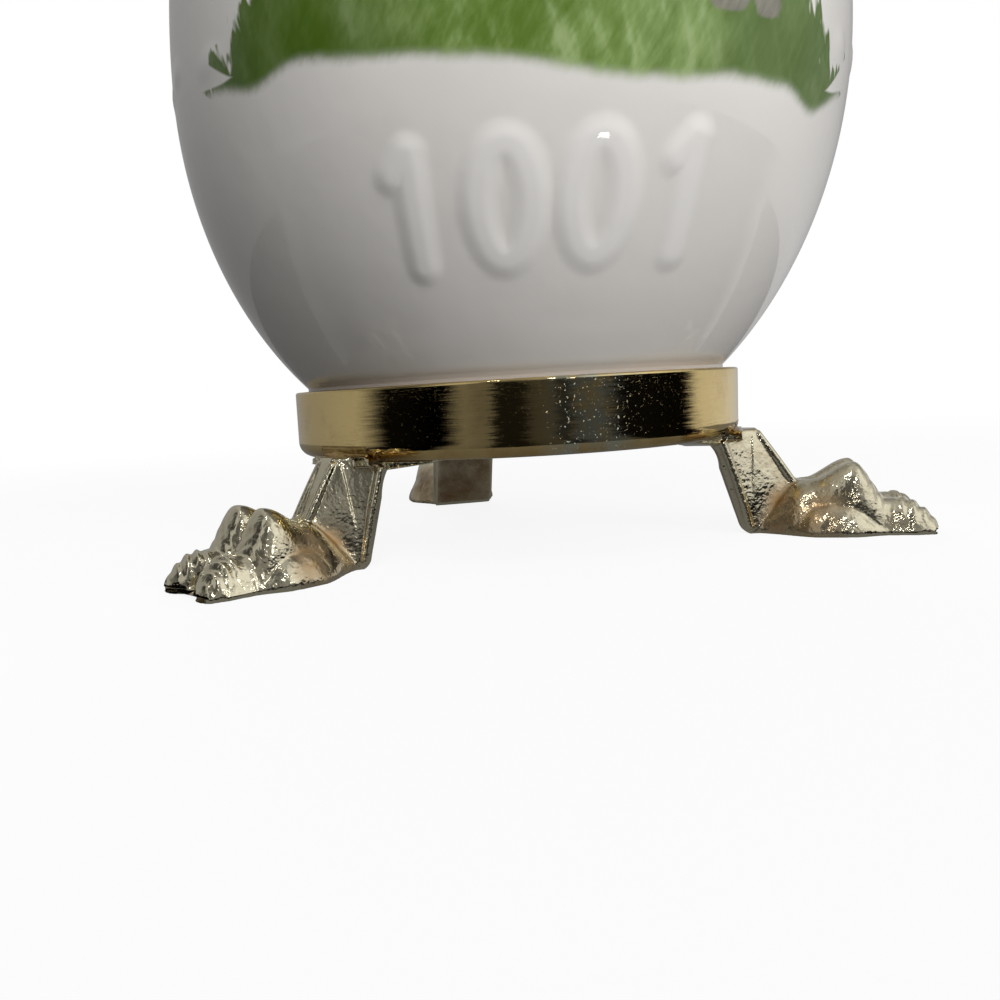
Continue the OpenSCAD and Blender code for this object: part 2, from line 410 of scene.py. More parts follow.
def between(value, low, high, start=0.0, end=1.0):
    """Goes smoothly from start to end as value goes from low to high."""
    return step(value.id_data, "ShaderNodeMapRange", {
        0: value, 1: low, 2: high, 3: start, 4: end}, interpolation_type="SMOOTHSTEP").outputs[0]


def blend_colours(share, a, b):
    return step(share.id_data, "ShaderNodeMix", {0: share, 6: a, 7: b},
                data_type="RGBA").outputs[2]


def object_place(tree):
    return step(tree, "ShaderNodeTexCoord").outputs["Object"]


def millimetres(tree, scale=1.0):
    """Object coordinates in millimetres, times scale."""
    return step(tree, "ShaderNodeMapping", {"Vector": object_place(tree),
                                            "Scale": [scale / MM] * 3})


def grain(place, scale=1.0, detail=2.0, roughness=0.5):
    return step(place.id_data, "ShaderNodeTexNoise", {
        "Vector": place, "Scale": scale, "Detail": detail, "Roughness": roughness}).outputs["Fac"]


def read(tree, name):
    return step(tree, "ShaderNodeAttribute", attribute_name=name).outputs["Fac"]


def bump(shader, height, distance, over=None):
    """Bumps the shader's normal by a height, over another normal if there is one."""
    made = step(shader.id_data, "ShaderNodeBump", {"Height": height, "Distance": distance})
    if over:
        feed(made, Normal=over)
    feed(shader, Normal=made)


def hammered_grain():
    tree, given, out = shader_group("Hammered casting grain", [
        ("Dimple Size", "Float", 1.0), ("Fine Share", "Float", 0.4)], [("Height", "Float")])
    where = millimetres(tree)
    broad = grain(where, calc("DIVIDE", 1.0, given["Dimple Size"]), 1.0)
    fine = grain(where, calc("DIVIDE", 3.2, given["Dimple Size"]), 3.0)
    feed(out, Height=scaled(fine, given["Fine Share"], broad))
    return tree


def hairline_scratches():
    tree, given, out = shader_group("Hairline scratches", [
        ("Length", "Float", 3.0), ("Share", "Float", 0.5)], [("Scratch", "Float")])
    where = millimetres(tree)
    size = calc("DIVIDE", 1.0, given["Length"])
    wander = grain(where, size, 1.5)
    line = between(calc("ABSOLUTE", centred(wander)), 0.0, 0.006, 1.0, 0.0)
    kept = between(grain(where, times(size, 4.1), 2.0), 0.52, 0.62)
    feed(out, Scratch=times(times(line, kept), given["Share"]))
    return tree


def amber_toning():
    tree, given, out = shader_group("Amber toning", [
        ("Plating", "Color", (0.8, 0.75, 0.6, 1)), ("Amber", "Color", (0.4, 0.25, 0.08, 1)),
        ("Hollow", "Float", 0.0), ("Patch Size", "Float", 3.0)],
        [("Colour", "Color"), ("Tone", "Float")])
    patch = grain(millimetres(tree), calc("DIVIDE", 1.0, given["Patch Size"]), 4.0, 0.65)
    tone = calc("MULTIPLY_ADD", centred(patch), 1.5, given["Hollow"], clamp=True)
    feed(out, Colour=blend_colours(tone, given["Plating"], given["Amber"]), Tone=tone)
    return tree


def turning_marks():
    """Marks on a turned wall, which tilt the normal a little along the wall, line by line."""
    tree, given, out = shader_group("Turning marks", [
        ("Line Height", "Float", 0.1), ("Line Length", "Float", 3.0), ("Tilt", "Float", 0.03),
        ("Axis Y", "Float", 0.0)], [("Normal", "Vector"), ("Line", "Float")])
    place = parts(object_place(tree))
    out_y = calc("SUBTRACT", place["Y"], given["Axis Y"])
    along = calc("DIVIDE", 1.0 / MM, given["Line Length"])
    up = calc("DIVIDE", 1.0 / MM, given["Line Height"])
    point = vector(tree, times(place["X"], along), times(out_y, along), times(place["Z"], up))
    line = grain(point, 1.0, 3.0, 0.7)
    round_way = step(tree, "ShaderNodeVectorMath", {
        0: vector(tree, times(out_y, -1.0), place["X"])}, operation="NORMALIZE")
    lean = step(tree, "ShaderNodeVectorMath", {
        0: round_way, "Scale": times(centred(line), given["Tilt"])}, operation="SCALE")
    flat = step(tree, "ShaderNodeNewGeometry").outputs["Normal"]
    feed(out, Line=line, Normal=step(tree, "ShaderNodeVectorMath", {
        0: step(tree, "ShaderNodeVectorMath", {0: flat, 1: lean})}, operation="NORMALIZE"))
    return tree


def brush_streaks():
    tree, given, out = shader_group("Brush streaks", [
        ("Width", "Float", 0.5), ("Stretch", "Float", 0.15), ("Lean", "Float", 0.0),
        ("Seed", "Float", 0.0)], [("Streak", "Float")])
    place = parts(object_place(tree))
    size = calc("DIVIDE", 1.0 / MM, given["Width"])
    x = scaled(place["Z"], times(given["Lean"], -1.0), place["X"])
    point = vector(tree, calc("ADD", times(x, size), given["Seed"]), times(place["Y"], size),
                   times(times(place["Z"], size), given["Stretch"]))
    feed(out, Streak=grain(point, 1.0, 2.0, 0.55))
    return tree


def casting_material(groups):
    made, tree, shader = material("plated_casting")
    tone = use_group(tree, groups["toning"], Plating=CASTING_PLATING, Amber=CASTING_AMBER,
                     Hollow=read(tree, "hollow"), Patch_Size=2.6)
    dimple = use_group(tree, groups["hammered"], Dimple_Size=0.33, Fine_Share=0.12)["Height"]
    scratch = use_group(tree, groups["scratches"], Length=2.2, Share=0.3)["Scratch"]
    matt = between(tone["Tone"], 0.3, 0.9)
    feed(shader, Base_Color=tone["Colour"], Metallic=scaled(matt, -0.5, 1.0),
         Roughness=scaled(scratch, 0.2, scaled(matt, 0.15, 0.1)))
    bump(shader, scaled(scratch, -0.1, dimple), 0.045 * MM)
    return made


def near_joints(tree, where):
    """Goes from 0 to 1 towards the nearest of the soldered joints."""
    nearest = None
    for angle in LEG_ANGLES.values():
        joint = [mm * MM for mm in round_axis(COLLAR_R, math.radians(angle), LEG_H)]
        away = step(tree, "ShaderNodeVectorMath", {0: where, 1: joint},
                    operation="DISTANCE").outputs["Value"]
        nearest = calc("MINIMUM", nearest, away) if nearest else away
    return between(nearest, 8 * MM, 3 * MM)


def collar_material(groups):
    made, tree, shader = material("turned_plating")
    where = object_place(tree)
    place = parts(where)
    low = between(place["Z"], (LEG_H + 1.4) * MM, (LEG_H + 0.3) * MM)
    hollow = times(low, scaled(near_joints(tree, where), 0.6, 0.35))
    tone = use_group(tree, groups["toning"], Plating=COLLAR_PLATING, Amber=COLLAR_AMBER,
                     Hollow=hollow, Patch_Size=5.0)["Colour"]
    front = times(between(place["X"], -4.5 * MM, -1.5 * MM),
                  between(place["X"], 5.5 * MM, 1.0 * MM))
    front = times(front, between(place["Y"], -5 * MM, -8 * MM))
    worn = times(front, between(grain(millimetres(tree), 0.9, 4.0, 0.7), 0.3, 0.6))
    marks = use_group(tree, groups["turning"], Line_Height=0.13, Line_Length=3.0, Tilt=0.17,
                      Axis_Y=AXIS_Y * MM)
    pits = grain(millimetres(tree), 4.0, 2.0)
    specks = scaled(worn, 0.05, grain(millimetres(tree), 4.6, 1.0))
    specks = times(between(specks, 0.71, 0.78), scaled(worn, 0.9, 0.1))
    scratch = use_group(tree, groups["scratches"], Length=0.9,
                        Share=scaled(worn, 0.8, 0.12))["Scratch"]
    wear = calc("MAXIMUM", scratch, specks)
    feed(shader, Base_Color=blend_colours(times(worn, 0.9), tone, WORN_PLATING),
         Metallic=scaled(specks, -0.8, 1.0),
         Roughness=scaled(wear, 0.4, scaled(marks["Line"], 0.07, 0.02)))
    bump(shader, scaled(wear, -2.5, scaled(pits, 0.4, marks["Line"])), 0.005 * MM,
         over=marks["Normal"])
    return made


def solder_material(groups):
    made, tree, shader = material("amber_solder", Metallic=1.0)
    tone = use_group(tree, groups["toning"], Plating=SOLDER_PLATING, Amber=SOLDER_AMBER,
                     Hollow=0.5, Patch_Size=1.2)
    dimple = use_group(tree, groups["hammered"], Dimple_Size=0.9, Fine_Share=0.2)["Height"]
    feed(shader, Base_Color=tone["Colour"], Roughness=scaled(tone["Tone"], 0.2, 0.15))
    bump(shader, dimple, 0.15 * MM)
    return made


def painted_meadow(tree, groups):
    """Where the meadow is painted, its colour, how thickly it covers, and the pebbles' colour.

    Its edge, its tips and the spikes at its ends come from distances in millimetres.
    """
    low, from_end = read(tree, "above_edge"), read(tree, "from_end")
    fine, broad, blades = (
        use_group(tree, groups["streaks"], Width=width, Stretch=stretch, Lean=lean,
                  Seed=seed)["Streak"]
        for width, stretch, lean, seed in (
            (0.5, 0.35, 0.5, 3.0), (5.0, 0.8, 0.0, 8.0), (1.2, 0.3, -0.3, 21.0)))
    edge = scaled(centred(fine), 0.3, times(centred(broad), 0.9))
    lift = between(from_end, 5.0, -1.0, 0.0, 2.4)
    inside = calc("SUBTRACT", calc("ADD", low, edge), lift)
    reach = scaled(centred(blades), 12.0, read(tree, "below_tips"))
    slant = scaled(from_end, 0.45, low)
    spike = calc("PINGPONG", calc("ADD", slant, 20.0), 1.3)
    ends = between(scaled(spike, 3.4, from_end), 1.6, 2.4)
    tips = times(between(reach, -0.5, 0.8), ends)
    meadow = times(between(inside, -0.25, 0.6), tips)
    strokes = scaled(centred(fine), 0.4, broad)
    strokes = scaled(centred(blades), 0.35, strokes)
    green = blend_colours(between(strokes, 0.26, 0.74), GRASS, GRASS_LIGHT)
    pale = between(calc("ADD", strokes, blades), 1.0, 1.5, 0.0, 0.5)
    green = blend_colours(pale, green, GRASS_PALE)
    dark = calc("MAXIMUM", between(inside, 1.5, 7.5, 0.0, 0.35),
                between(from_end, 18.5, 10.0, 0.0, 0.75))
    green = blend_colours(dark, green, GRASS_DARK)
    stone = blend_colours(fine, STONE_DARK, STONE_LIGHT)
    return meadow, green, between(inside, 0.0, 0.9, 0.6, 1.0), stone


def porcelain_material(groups):
    made, tree, shader = material("glazed_porcelain", Roughness=0.16, Coat_Weight=1.0,
                                  Coat_Roughness=0.03, Specular_IOR_Level=0.0)
    meadow, green, cover, stone = painted_meadow(tree, groups)
    white = blend_colours(grain(millimetres(tree, 0.05)), WHITE, WHITE_SHADE)
    # The raised numerals get a lighter white: a painted highlight on their relief.
    white = blend_colours(times(read(tree, "raised"), 0.4), white, WHITE_RAISED_HIGHLIGHT)
    colour = blend_colours(times(meadow, cover), white, green)
    stones = times(between(read(tree, "pebble"), 0.2, 0.6, 0.0, 0.85),
                   between(read(tree, "from_end"), 2.0, 4.0))
    colour = blend_colours(stones, colour, stone)
    height = parts(object_place(tree))["Z"]
    # Down to the collar the egg turns tan: its unglazed foot, and just above the rim a painted
    # shade and reflection of the collar.
    bare_foot_and_shade = between(height, (FLARE_Z + 0.9) * MM, (FLARE_Z - 0.1) * MM)
    colour = blend_colours(times(bare_foot_and_shade, 0.7), colour, BISCUIT_AND_SHADE)
    speck = step(tree, "ShaderNodeTexVoronoi", {"Vector": millimetres(tree), "Scale": 0.16})
    speck = between(speck.outputs["Distance"], 0.012, 0.02, 0.6, 0.0)
    feed(shader, Base_Color=blend_colours(speck, colour, SPECK))
    ripple = grain(millimetres(tree, 0.3))
    bump(shader, scaled(meadow, 0.1, ripple), 0.05 * MM)
    return made


# ---------------- the egg

def egg_normal(r, z):
    """Outward normals of the egg's wall, as distances from the axis and up it."""
    depth = np.where(z < BELLY_Z, LOWER_H, EGG_CROWN_H)
    n = np.stack([r / EGG_R ** 2, (z - BELLY_Z) / depth ** 2], -1)
    return n / np.linalg.norm(n, axis=-1, keepdims=True)


def egg_curve(heights):
    """Distance of the egg's wall from the axis at these heights."""
    depth = np.where(heights < BELLY_Z, LOWER_H, EGG_CROWN_H)
    return EGG_R * np.sqrt(np.maximum(0, 1 - ((heights - BELLY_Z) / depth) ** 2))


NUMERAL_MIDDLE = math.radians(VIEW_ANGLE + 7.1)
NUMERAL_Z = 24.9
NUMERAL_PITCH = math.radians(13.3)
NUMERAL_RISE = 0.17
NUMERAL_TALL, NUMERAL_WIDE = 3.6, 1.75      # half the height and width of a nought's middle line
STROKE_HALF = 1.15 + 0.45                   # half the width of a stroke at its foot
FLANK = 1.35                                # the part of that which slopes
BREAKS, BREAK_HALF = (-164.0, -36.0, 80.0), 13
EDGE_Z = 33.2
PEBBLES = 22


def numeral_relief(around, along):
    """Height of the raised numerals, at distances round and up the egg from their middle."""
    tall, wide = NUMERAL_TALL, NUMERAL_WIDE
    spacing = NUMERAL_PITCH * float(egg_curve(np.array(NUMERAL_Z)))
    turn = np.linspace(0, 2 * math.pi, 33)
    ring = np.stack([wide * np.cos(turn), tall * np.sin(turn)], 1)
    one = np.array([(-0.95, tall - 1.2), (0.1, tall), (0.1, -tall)])
    lines = [one + (-1.5 * spacing, 0), ring + (-0.5 * spacing, 0), ring + (0.5 * spacing, 0),
             one + (1.5 * spacing, 0)]
    nearest = np.full(around.shape, 9.0)
    spot = np.stack([around, along], -1)
    for line in lines:
        for a, b in zip(line, line[1:]):
            d = b - a
            share = part_way((spot - a) @ d, d @ d)[..., None]
            nearest = np.minimum(nearest, np.linalg.norm(spot - a - share * d, axis=-1))
    return NUMERAL_RISE * ease(part_way(STROKE_HALF - nearest, FLANK))


def from_breaks(angle):
    """Distance round the egg into the meadow, from the nearest of its three breaks."""
    inside = np.full(np.shape(angle), 99.0)
    for middle in BREAKS:
        off = np.abs(wrapped(angle - math.radians(middle)))
        inside = np.minimum(inside, (off - math.radians(BREAK_HALF)) * EGG_R)
    return inside


def meadow_edge(angle):
    """Height of the painted meadow's lower edge round the egg."""
    around = angle - math.radians(VIEW_ANGLE + 36)
    droop = 2.0 * ease(1 - part_way(from_breaks(angle), 9))
    return (EDGE_Z - droop - 1.9 * np.cos(around * 2) + 0.25 * np.sin(around * 5 + 0.6)
            + 0.15 * np.sin(around * 11 + 2.0))


def meadow_height(angle):
    """How tall the meadow stands above its lower edge."""
    tall = 8.5 + 1.3 * np.sin(angle * 3 + 1.0) + 0.8 * np.sin(angle * 7 + 4.0)
    return tall - 3.0 * ease(1 - part_way(from_breaks(angle), 7))


def pebbles(angle, z):
    """Low pebbles lying in the grass: 0 outside them, 1 on top."""
    rng = np.random.default_rng(11)
    cover = np.zeros(angle.shape)
    for k in range(PEBBLES):
        middle = math.radians(k * 360 / PEBBLES + rng.uniform(-6, 6))
        level = float(meadow_edge(np.array(middle))) + rng.uniform(4.6, 6.2)
        half = rng.uniform(1.1, 2.1), rng.uniform(0.7, 1.1)
        reach = (wrapped(angle - middle) * EGG_R / half[0]) ** 2 + ((z - level) / half[1]) ** 2
        cover = np.maximum(cover, np.sqrt(np.maximum(0, 1 - reach)))
    return cover


# The part of the egg's mesh that is finer, for the numerals, and where the even rows end
FINE_FROM, FINE_TO = math.radians(-126), math.radians(-72)
FINE_LOW, FINE_HIGH = 19.4, 30.2
CROWN_LOW = 52


def stretch(low, high, steps):
    return np.linspace(low, high, steps, endpoint=False)


def egg_profile():
    """The egg's section as (distance, height) pairs: its foot, its outside, and its inside."""
    crown = np.linspace(math.asin((CROWN_LOW - BELLY_Z) / EGG_CROWN_H), math.pi / 2, 34)
    heights = np.concatenate([
        stretch(FLARE_Z, FINE_LOW, 14), stretch(FINE_LOW, FINE_HIGH, 74),
        stretch(FINE_HIGH, CROWN_LOW, 44), BELLY_Z + EGG_CROWN_H * np.sin(crown)])
    outer = np.stack([egg_curve(heights), heights], 1)
    outer[-1, 0] = 0
    inner_turn = np.linspace(math.pi / 2, -FLARE_ANGLE, 30)
    depth = np.where(inner_turn < 0, LOWER_H, EGG_CROWN_H)
    inner = np.stack([EGG_R * np.cos(inner_turn), BELLY_Z + depth * np.sin(inner_turn)], 1)
    inner -= EGG_WALL * egg_normal(inner[:, 0], inner[:, 1])
    inner[0, 0] = 0
    inner = inner[(inner[:, 1] > EGG_FLOOR_Z + 0.3) | (np.arange(len(inner)) == 0)]
    foot = [(VENT_R, EGG_FOOT_Z), (EGG_FOOT_R - 0.4, EGG_FOOT_Z),
            (EGG_FOOT_R - 0.1, EGG_FOOT_Z + 0.1), (EGG_FOOT_R, EGG_FOOT_Z + 0.4),
            (EGG_FOOT_R, FLARE_Z - 0.4), (EGG_FOOT_R, FLARE_Z - 0.1)]
    floor = [(EGG_FOOT_R - EGG_WALL, EGG_FLOOR_Z), (VENT_R, EGG_FLOOR_Z)]
    return foot, outer, inner.tolist() + floor


def turned_solid(profile, angles):
    """Points, rows of point numbers and faces of a closed profile turned round the Z axis."""
    n = len(angles)
    points, rows = [], []
    for r, z in profile:
        start = len(points)
        if r < 1e-6:
            points.append((0.0, 0.0, z))
            rows.append([start] * n)
        else:
            points.extend(zip(r * np.cos(angles), r * np.sin(angles), [z] * n))
            rows.append(list(range(start, start + n)))
    faces = []
    for low, high in zip(rows, rows[1:] + rows[:1]):
        for i in range(n):
            j = (i + 1) % n
            face = list(dict.fromkeys([low[i], low[j], high[j], high[i]]))
            if len(face) > 2:
                faces.append(face)
    return np.array(points), rows, faces


def egg_piece(paint):
    foot, outer, inside = egg_profile()
    angles = np.concatenate([stretch(FINE_FROM, FINE_TO, 150),
                             stretch(FINE_TO, FINE_FROM + 2 * math.pi, 250)])
    points, rows, faces = turned_solid(foot + outer.tolist() + inside, angles)
    first, last = rows[len(foot)][0], rows[len(foot) + len(outer) - 1][0] + 1
    skin = points[first:last]
    angle = np.arctan2(skin[:, 1], skin[:, 0])
    radius, z = np.hypot(skin[:, 0], skin[:, 1]), skin[:, 2]
    slope = np.concatenate([[0], np.cumsum(np.linalg.norm(np.diff(outer, axis=0), axis=1))])
    along = np.interp(z, outer[:, 1], slope) - np.interp(NUMERAL_Z, outer[:, 1], slope)
    off = wrapped(angle - NUMERAL_MIDDLE) * float(egg_curve(np.array(NUMERAL_Z)))
    numerals = numeral_relief(off, along)
    stones = pebbles(angle, z)
    rise = numerals + 0.1 * stones
    normal = egg_normal(radius, z)
    outward = np.stack([normal[:, 0] * np.cos(angle), normal[:, 0] * np.sin(angle),
                        normal[:, 1]], 1)
    points[first:last] = skin + rise[:, None] * outward
    points[:, 1] += AXIS_Y
    made = mesh_object("glazed_egg", points, faces, paint)
    edge = meadow_edge(angle)
    for name, values, elsewhere in (
            ("above_edge", z - edge, -9.0), ("below_tips", edge + meadow_height(angle) - z, -9.0),
            ("pebble", stones, 0.0), ("from_end", from_breaks(angle), -9.0),
            ("raised", numerals / NUMERAL_RISE, 0.0)):
        whole = np.full(len(points), elsewhere)
        whole[first:last] = values
        store(made.data, name, whole)
    return made


# ---------------- the collar

def collar_profile():
    """The collar's section as (distance, height) pairs, from its lower edge round to it again."""
    arc = np.radians(np.linspace(-90, 0, 14))
    shoulder = [(COLLAR_R - SHOULDER_R + SHOULDER_R * math.cos(a),
                 LEG_H + SHOULDER_R + SHOULDER_R * math.sin(a)) for a in arc]
    lip = COLLAR_WALL / 5
    rim = [(COLLAR_R, RIM_Z - lip), (COLLAR_R - 0.3 * lip, RIM_Z - 0.3 * lip),
           (COLLAR_R - lip, RIM_Z), (COLLAR_R - lip - 0.04, RIM_Z), (BORE_R + lip + 0.04, RIM_Z),
           (BORE_R + lip, RIM_Z), (BORE_R + 0.3 * lip, RIM_Z - 0.3 * lip),
           (BORE_R, RIM_Z - lip), (BORE_R, RIM_Z - lip - 0.04)]
    bore = [(BORE_R, LEG_H + FLANGE_T + 0.1), (BORE_R - 0.1, LEG_H + FLANGE_T),
            (FLANGE_R + 0.1, LEG_H + FLANGE_T), (FLANGE_R, LEG_H + FLANGE_T - 0.1),
            (FLANGE_R, LEG_H + 0.1), (FLANGE_R + 0.1, LEG_H)]
    wall = [(COLLAR_R, z) for z in (LEG_H + SHOULDER_R + 0.08, LEG_H + SHOULDER_R + 1.5,
                                    RIM_Z - lip - 1.2, RIM_Z - lip - 0.04)]
    return shoulder + wall + rim + bore + [shoulder[0]]


def collar_piece(paint):
    profile = [(r, 0.0, z) for r, z in collar_profile()]
    drawn = mesh_object("collar_profile", profile, [])
    use_tree(drawn, turned_ring_tree(), {"Steps": 288, "Points": len(profile),
                                         "Axis Y": AXIS_Y * MM, "Material": paint})
    return baked("turned_collar", drawn)


def solder_piece(paint):
    """Solder in the groove between the collar's shoulder and each leg's head."""
    spread = math.asin((LEG_W / 2 - BEAD_R) / COLLAR_R)
    proud_r = SHOULDER_R + 0.02
    under = [(COLLAR_R - SHOULDER_R + proud_r * math.cos(a),
              LEG_H + SHOULDER_R + proud_r * math.sin(a))
             for a in np.radians(np.linspace(-78, 0, 7))]
    ledge = LEG_H + LEDGE_RISE - 0.03
    solids = []
    for angle in LEG_ANGLES.values():
        sections = []
        for turn in np.linspace(-spread, spread, 25):
            fade = math.sqrt(max(0.05, 1 - (turn / spread) ** 2))
            top = LEG_H + LEDGE_RISE + 0.06 + fade * (0.2 + 0.07 * math.sin(turn * 31 + angle))
            meets = math.asin((top - LEG_H) / SHOULDER_R - 1)
            inner_r = COLLAR_R - SHOULDER_R * (1 - math.cos(meets))
            outer = [(inner_r + 0.02, top),
                     ((inner_r + LEDGE_U) / 2 - 0.03, (top + ledge) / 2 - 0.06),
                     (LEDGE_U - 0.02, ledge), (LEDGE_U - 0.05, LEG_H + 0.04)]
            sections.append([round_axis(r, math.radians(angle) + turn, z)
                             for r, z in under + outer])
        solids.append(loft(sections))
    return mesh_object("solder_joints", *gathered(solids), paint)


# ---------------- the cast legs

# U runs outward from the collar's axis, V across, and T from the heel at 0 to the tips at 1
KNUCKLE_T = 0.56
TOE_BREAK_T = 0.745
TOE_SHOULDER_H = KNUCKLE_H * 0.48
TIP_V = FOOT_W * 0.235
TIP_ROUND = FOOT_W * 0.17
TIP_NOTCH = 1.5
TIP_H = 1.3
EDGE_H = SOLE_EDGE * 0.6
HEEL_INSET = 0.35
WRINKLE_PITCH, KNUCKLE_PITCH, CREASE_PITCH = 0.8, 0.55, 1.2
BACK_T = 0.8
BEAD_POINTS, BEAD_SHOWN_R = 12, 0.34
REMESH_STEP = 0.1


def foot_half(t):
    """Half the foot's width, from the heel at t = 0 to the tips at 1."""
    return FOOT_W / 2 * through([(0, 0.58), (0.38, 1), (0.52, 0.98), (0.76, 0.77), (0.9, 0.76),
                                 (1, 0.7)], t)


def foot_point(t, s):
    """Where the foot's grid point lies: t from the heel to the tips, s from side to side."""
    v = s * foot_half(t)
    off = part_way(np.abs(np.abs(v) - TIP_V), TIP_ROUND)
    cut = TIP_NOTCH * (1 - np.sqrt(1 - off ** 2)) * ease(part_way(t - 0.78, 0.22))
    return HEEL_U + HEEL_INSET + t * (FOOT_L - HEEL_INSET) - cut, v


def foot_height(t, s, u, v):
    """Height of the foot's top: two middle toes, two side toes and the instep."""
    side = np.abs(v)
    toe = through([(0, 1), (0.3, INSTEP_H), (KNUCKLE_T, KNUCKLE_H), (TOE_BREAK_T, TOE_SHOULDER_H),
                   (0.82, TOE_SHOULDER_H), (1.03, TIP_H)], t)
    place = through([(0.25, FOOT_W * 0.1), (KNUCKLE_T, FOOT_W * 0.17), (0.8, FOOT_W * 0.2),
                     (1, TIP_V)], t)
    half = FOOT_W * through([(0.3, 0.27), (KNUCKLE_T, 0.225), (0.85, 0.17), (1, 0.14)], t)
    half = np.where(side < place, place * 1.05, half)
    back = TIP_U - (u + 0.25 * (side - place) + 0.1 * np.sin(v * 2.3 + 1))
    ridges = 0.15 * np.cos(2 * math.pi * back / WRINKLE_PITCH)
    front = part_way(t - 0.76, 0.05) * part_way(1 - t, 0.06)
    knuckle = 0.07 * np.cos(2 * math.pi * back / KNUCKLE_PITCH)
    above = part_way(t - 0.6, 0.05) * part_way(0.76 - t, 0.05)
    toes = dome(toe + ridges * front + knuckle * above, half, side - place, 2.5)
    low = SIDE_TOE_H * through([(0.05, 0.15), (0.42, 1), (0.52, 0.96), (0.78, 0.12)], t)
    low_place = FOOT_W * through([(0.1, 0.32), (0.42, 0.36), (0.78, 0.31)], t)
    creases = 0.05 * np.cos(2 * math.pi * (u + 0.5 * side) / CREASE_PITCH) * part_way(t - 0.2, 0.1)
    side_toe = dome(low + creases, FOOT_W * 0.17, side - low_place)
    instep = INSTEP_H * through([(0, 0.3), (0.28, 1), (0.5, 0.98), (0.78, 0.4), (0.95, 0.1)], t)
    top = smooth_top(toes, dome(instep, FOOT_W * 0.44, v), 0.35)
    top = np.maximum(SOLE_EDGE, smooth_top(top, side_toe, 0.25))
    fall = np.sqrt(1 - np.abs(s) ** 6) * np.sqrt(1 - 0.96 * t ** 44)
    return EDGE_H + (top - EDGE_H) * fall


def column_front(u, v):
    """Height of the leg's front above a point of the foot."""
    share = part_way(LEG_W / 2 - np.abs(v), (LEG_W - RIDGE_W) / 2)
    reach = HEEL_U + (RIDGE_FOOT_U - HEEL_U) * share
    ridge_lean = (RIDGE_FOOT_U - RIDGE_HEAD_U) / (LEG_H + LEDGE_RISE)
    lean = LEG_LEAN / LEG_H * (1 - share) + ridge_lean * share
    return np.clip((reach - u) / lean, -3, LEG_H)


def paw_solid():
    """The foot, with its top drawn up into the leg's front."""
    along, across = 150, 112
    t, s = np.meshgrid(np.linspace(0, 1, along),
                       np.sin(np.linspace(-math.pi / 2, math.pi / 2, across)), indexing="ij")
    u, v = foot_point(t, s)
    z = smooth_top(foot_height(t, s, u, v), column_front(u, v) - 0.08, 1.5)
    top = np.stack([u, v, z], -1)
    bottom = np.stack([u, v, np.zeros_like(z)], -1)
    sections = [np.vstack([top[i], bottom[i, ::-1]]) for i in range(along)]
    return loft([section[::-1] for section in sections])


def column_solids():
    """The strap, from the heel to the collar, and the ledge that stands up outside the collar."""
    def section(z, back, edge, ridge):
        w, r = LEG_W / 2, RIDGE_W / 2
        hollow = 0.28 * part_way(z - 2.5, 2)
        right = [(edge + (ridge - edge) * k - hollow * math.sin(math.pi * k), -w + (w - r) * k)
                 for k in np.linspace(0, 1, 9)]
        round_r = min(BACK_T, (edge - back) / 2)
        corner = [(back + round_r * (1 - math.sin(a)), -w + round_r * (1 - math.cos(a)))
                  for a in np.linspace(math.pi / 2, 0, 5)]
        half = corner + right
        flat = w - round_r
        behind = [(back - 0.12 * (1 - (v / flat) ** 2), v)
                  for v in np.linspace(flat, -flat, 9)[1:-1]]
        return [(u, v, z) for u, v in half + [(u, -v) for u, v in half[::-1]] + behind]

    def front(z):
        """Where the strap's front edge and its middle ridge are at a height."""
        share = z / (LEG_H + LEDGE_RISE)
        return HEEL_U - LEG_LEAN * z / LEG_H, RIDGE_FOOT_U + (RIDGE_HEAD_U - RIDGE_FOOT_U) * share

    def back(z):
        """Where the strap's back is at a height: rounded heel, leaning strap, curved gusset."""
        if z < BACK_T:
            return HEEL_U - BACK_T + BACK_T * (1 - z / BACK_T) ** 2
        if z < GUSSET_Z:
            share = (z - BACK_T) / (GUSSET_Z - BACK_T)
            return HEEL_U - BACK_T + (BACK_HEAD_U - HEEL_U + BACK_T) * share
        rise = min(1, (z - GUSSET_Z) / (LEG_H - GUSSET_Z))
        return GUSSET_U + (BACK_HEAD_U - GUSSET_U) * math.sqrt(1 - rise ** 2)

    gusset = GUSSET_Z + (LEG_H - GUSSET_Z) * np.sin(np.linspace(0.1, math.pi / 2, 12))
    heights = np.concatenate([np.linspace(0, BACK_T, 6), np.linspace(0.9, GUSSET_Z, 8), gusset])
    column = loft([section(z, back(z), *front(z)) for z in heights])
    ledge = []
    for z, size in ((LEG_H - 0.3, 1), (LEG_H + 0.1, 1), (LEG_H + 0.25, 0.98), (LEG_H + 0.36, 0.93),
                    (LEG_H + LEDGE_RISE, 0.82)):
        middle = (LEDGE_U + front(z)[1]) / 2
        ledge.append([(middle + (u - middle) * size, v * size, h)
                      for u, v, h in section(z, LEDGE_U, *front(z))])
    return [column, loft(ledge)]


def tab_solid():
    """The tab under the collar, thinner towards its ends."""
    inner, outer = GUSSET_U, COLLAR_R - SHOULDER_R
    full = math.degrees(math.asin(LEG_W / 2 / inner))
    sections = []
    for turn in np.linspace(-TAB_ANGLE, TAB_ANGLE, 33):
        thin = part_way(abs(turn) - full, TAB_ANGLE - full)
        under = LEG_H - TAB_T * (1 - 0.7 * thin)
        a = math.radians(turn)
        sections.append([(r * math.cos(a), r * math.sin(a), z) for r, z in
                         ((inner, under), (outer, under), (outer, LEG_H), (inner, LEG_H))])
    return loft(sections)


